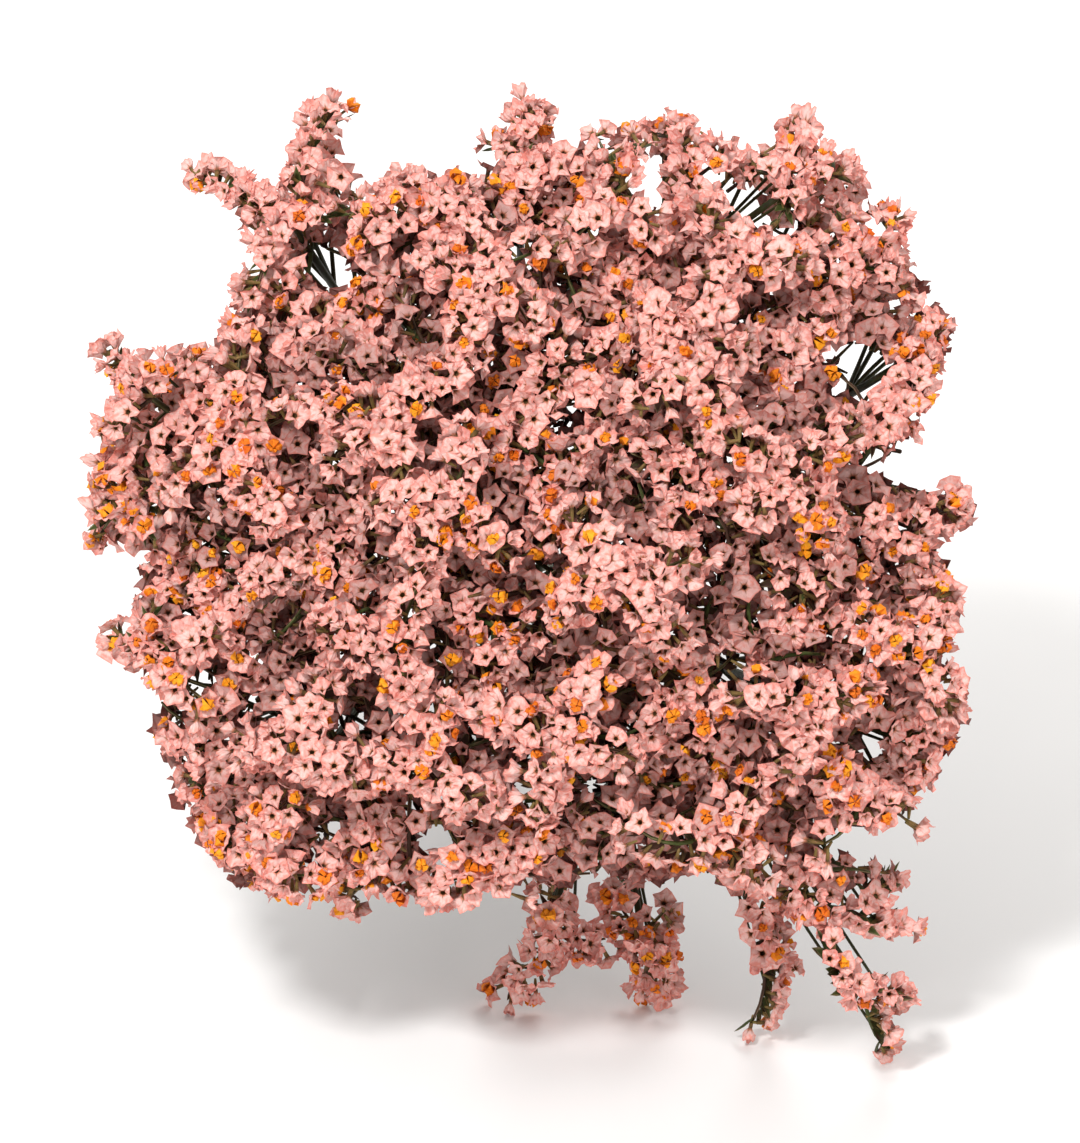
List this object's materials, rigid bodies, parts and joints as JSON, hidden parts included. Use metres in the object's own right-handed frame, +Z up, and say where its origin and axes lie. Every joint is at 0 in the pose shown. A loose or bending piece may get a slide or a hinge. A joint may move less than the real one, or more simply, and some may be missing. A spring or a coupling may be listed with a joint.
{
  "type": "dried statice bunch",
  "caption": "Bunch of dried statice laid down: a broad dome of pink papery calyx combs on slender forking stems, gathered by a band round the stems.",
  "frame": {"origin": "middle of the bunch's footprint, on the surface it lies on", "axes": "+Z up from the surface; +Y from the flowers towards the cut stem ends, level, along the bunch; +X to the right as seen from the flower side"},
  "size_m": [0.3572, 0.4924, 0.3592],
  "materials": {
    "flowers": "dry papery, matte",
    "stems": "dry, matte, ribbed",
    "binding": "matte"
  },
  "bodies": {
    "root": {"binding": "binding", "head_bottom_1": "flowers", "head_bottom_2": "flowers", "head_bottom_3": "flowers", "head_bottom_4": "flowers", "head_inner_lower_1": "flowers", "head_inner_lower_2": "flowers", "head_inner_lower_3": "flowers", "head_inner_lower_4": "flowers", "head_inner_lower_5": "flowers", "head_inner_lower_6": "flowers", "head_inner_upper_1": "flowers", "head_inner_upper_2": "flowers", "head_inner_upper_3": "flowers", "head_inner_upper_4": "flowers", "head_left_1": "flowers", "head_left_2": "flowers", "head_left_3": "flowers", "head_left_4": "flowers", "head_left_5": "flowers", "head_lower_left_1": "flowers", "head_lower_left_2": "flowers", "head_lower_left_3": "flowers", "head_lower_left_4": "flowers", "head_lower_left_5": "flowers", "head_lower_right_1": "flowers", "head_lower_right_2": "flowers", "head_lower_right_3": "flowers", "head_lower_right_4": "flowers", "head_lower_right_5": "flowers", "head_lower_right_6": "flowers", "head_right_1": "flowers", "head_right_2": "flowers", "head_right_3": "flowers", "head_right_4": "flowers", "head_right_5": "flowers", "head_top_1": "flowers", "head_top_2": "flowers", "head_top_3": "flowers", "head_top_4": "flowers", "head_top_5": "flowers", "head_upper_left_1": "flowers", "head_upper_left_2": "flowers", "head_upper_left_3": "flowers", "head_upper_left_4": "flowers", "head_upper_right_1": "flowers", "head_upper_right_2": "flowers", "head_upper_right_3": "flowers", "head_upper_right_4": "flowers", "head_upper_right_5": "flowers", "stem_bottom": "stems", "stem_inner_lower": "stems", "stem_inner_upper": "stems", "stem_left": "stems", "stem_lower_left": "stems", "stem_lower_right": "stems", "stem_right": "stems", "stem_top": "stems", "stem_upper_left": "stems", "stem_upper_right": "stems"}
  },
  "joints": []
}
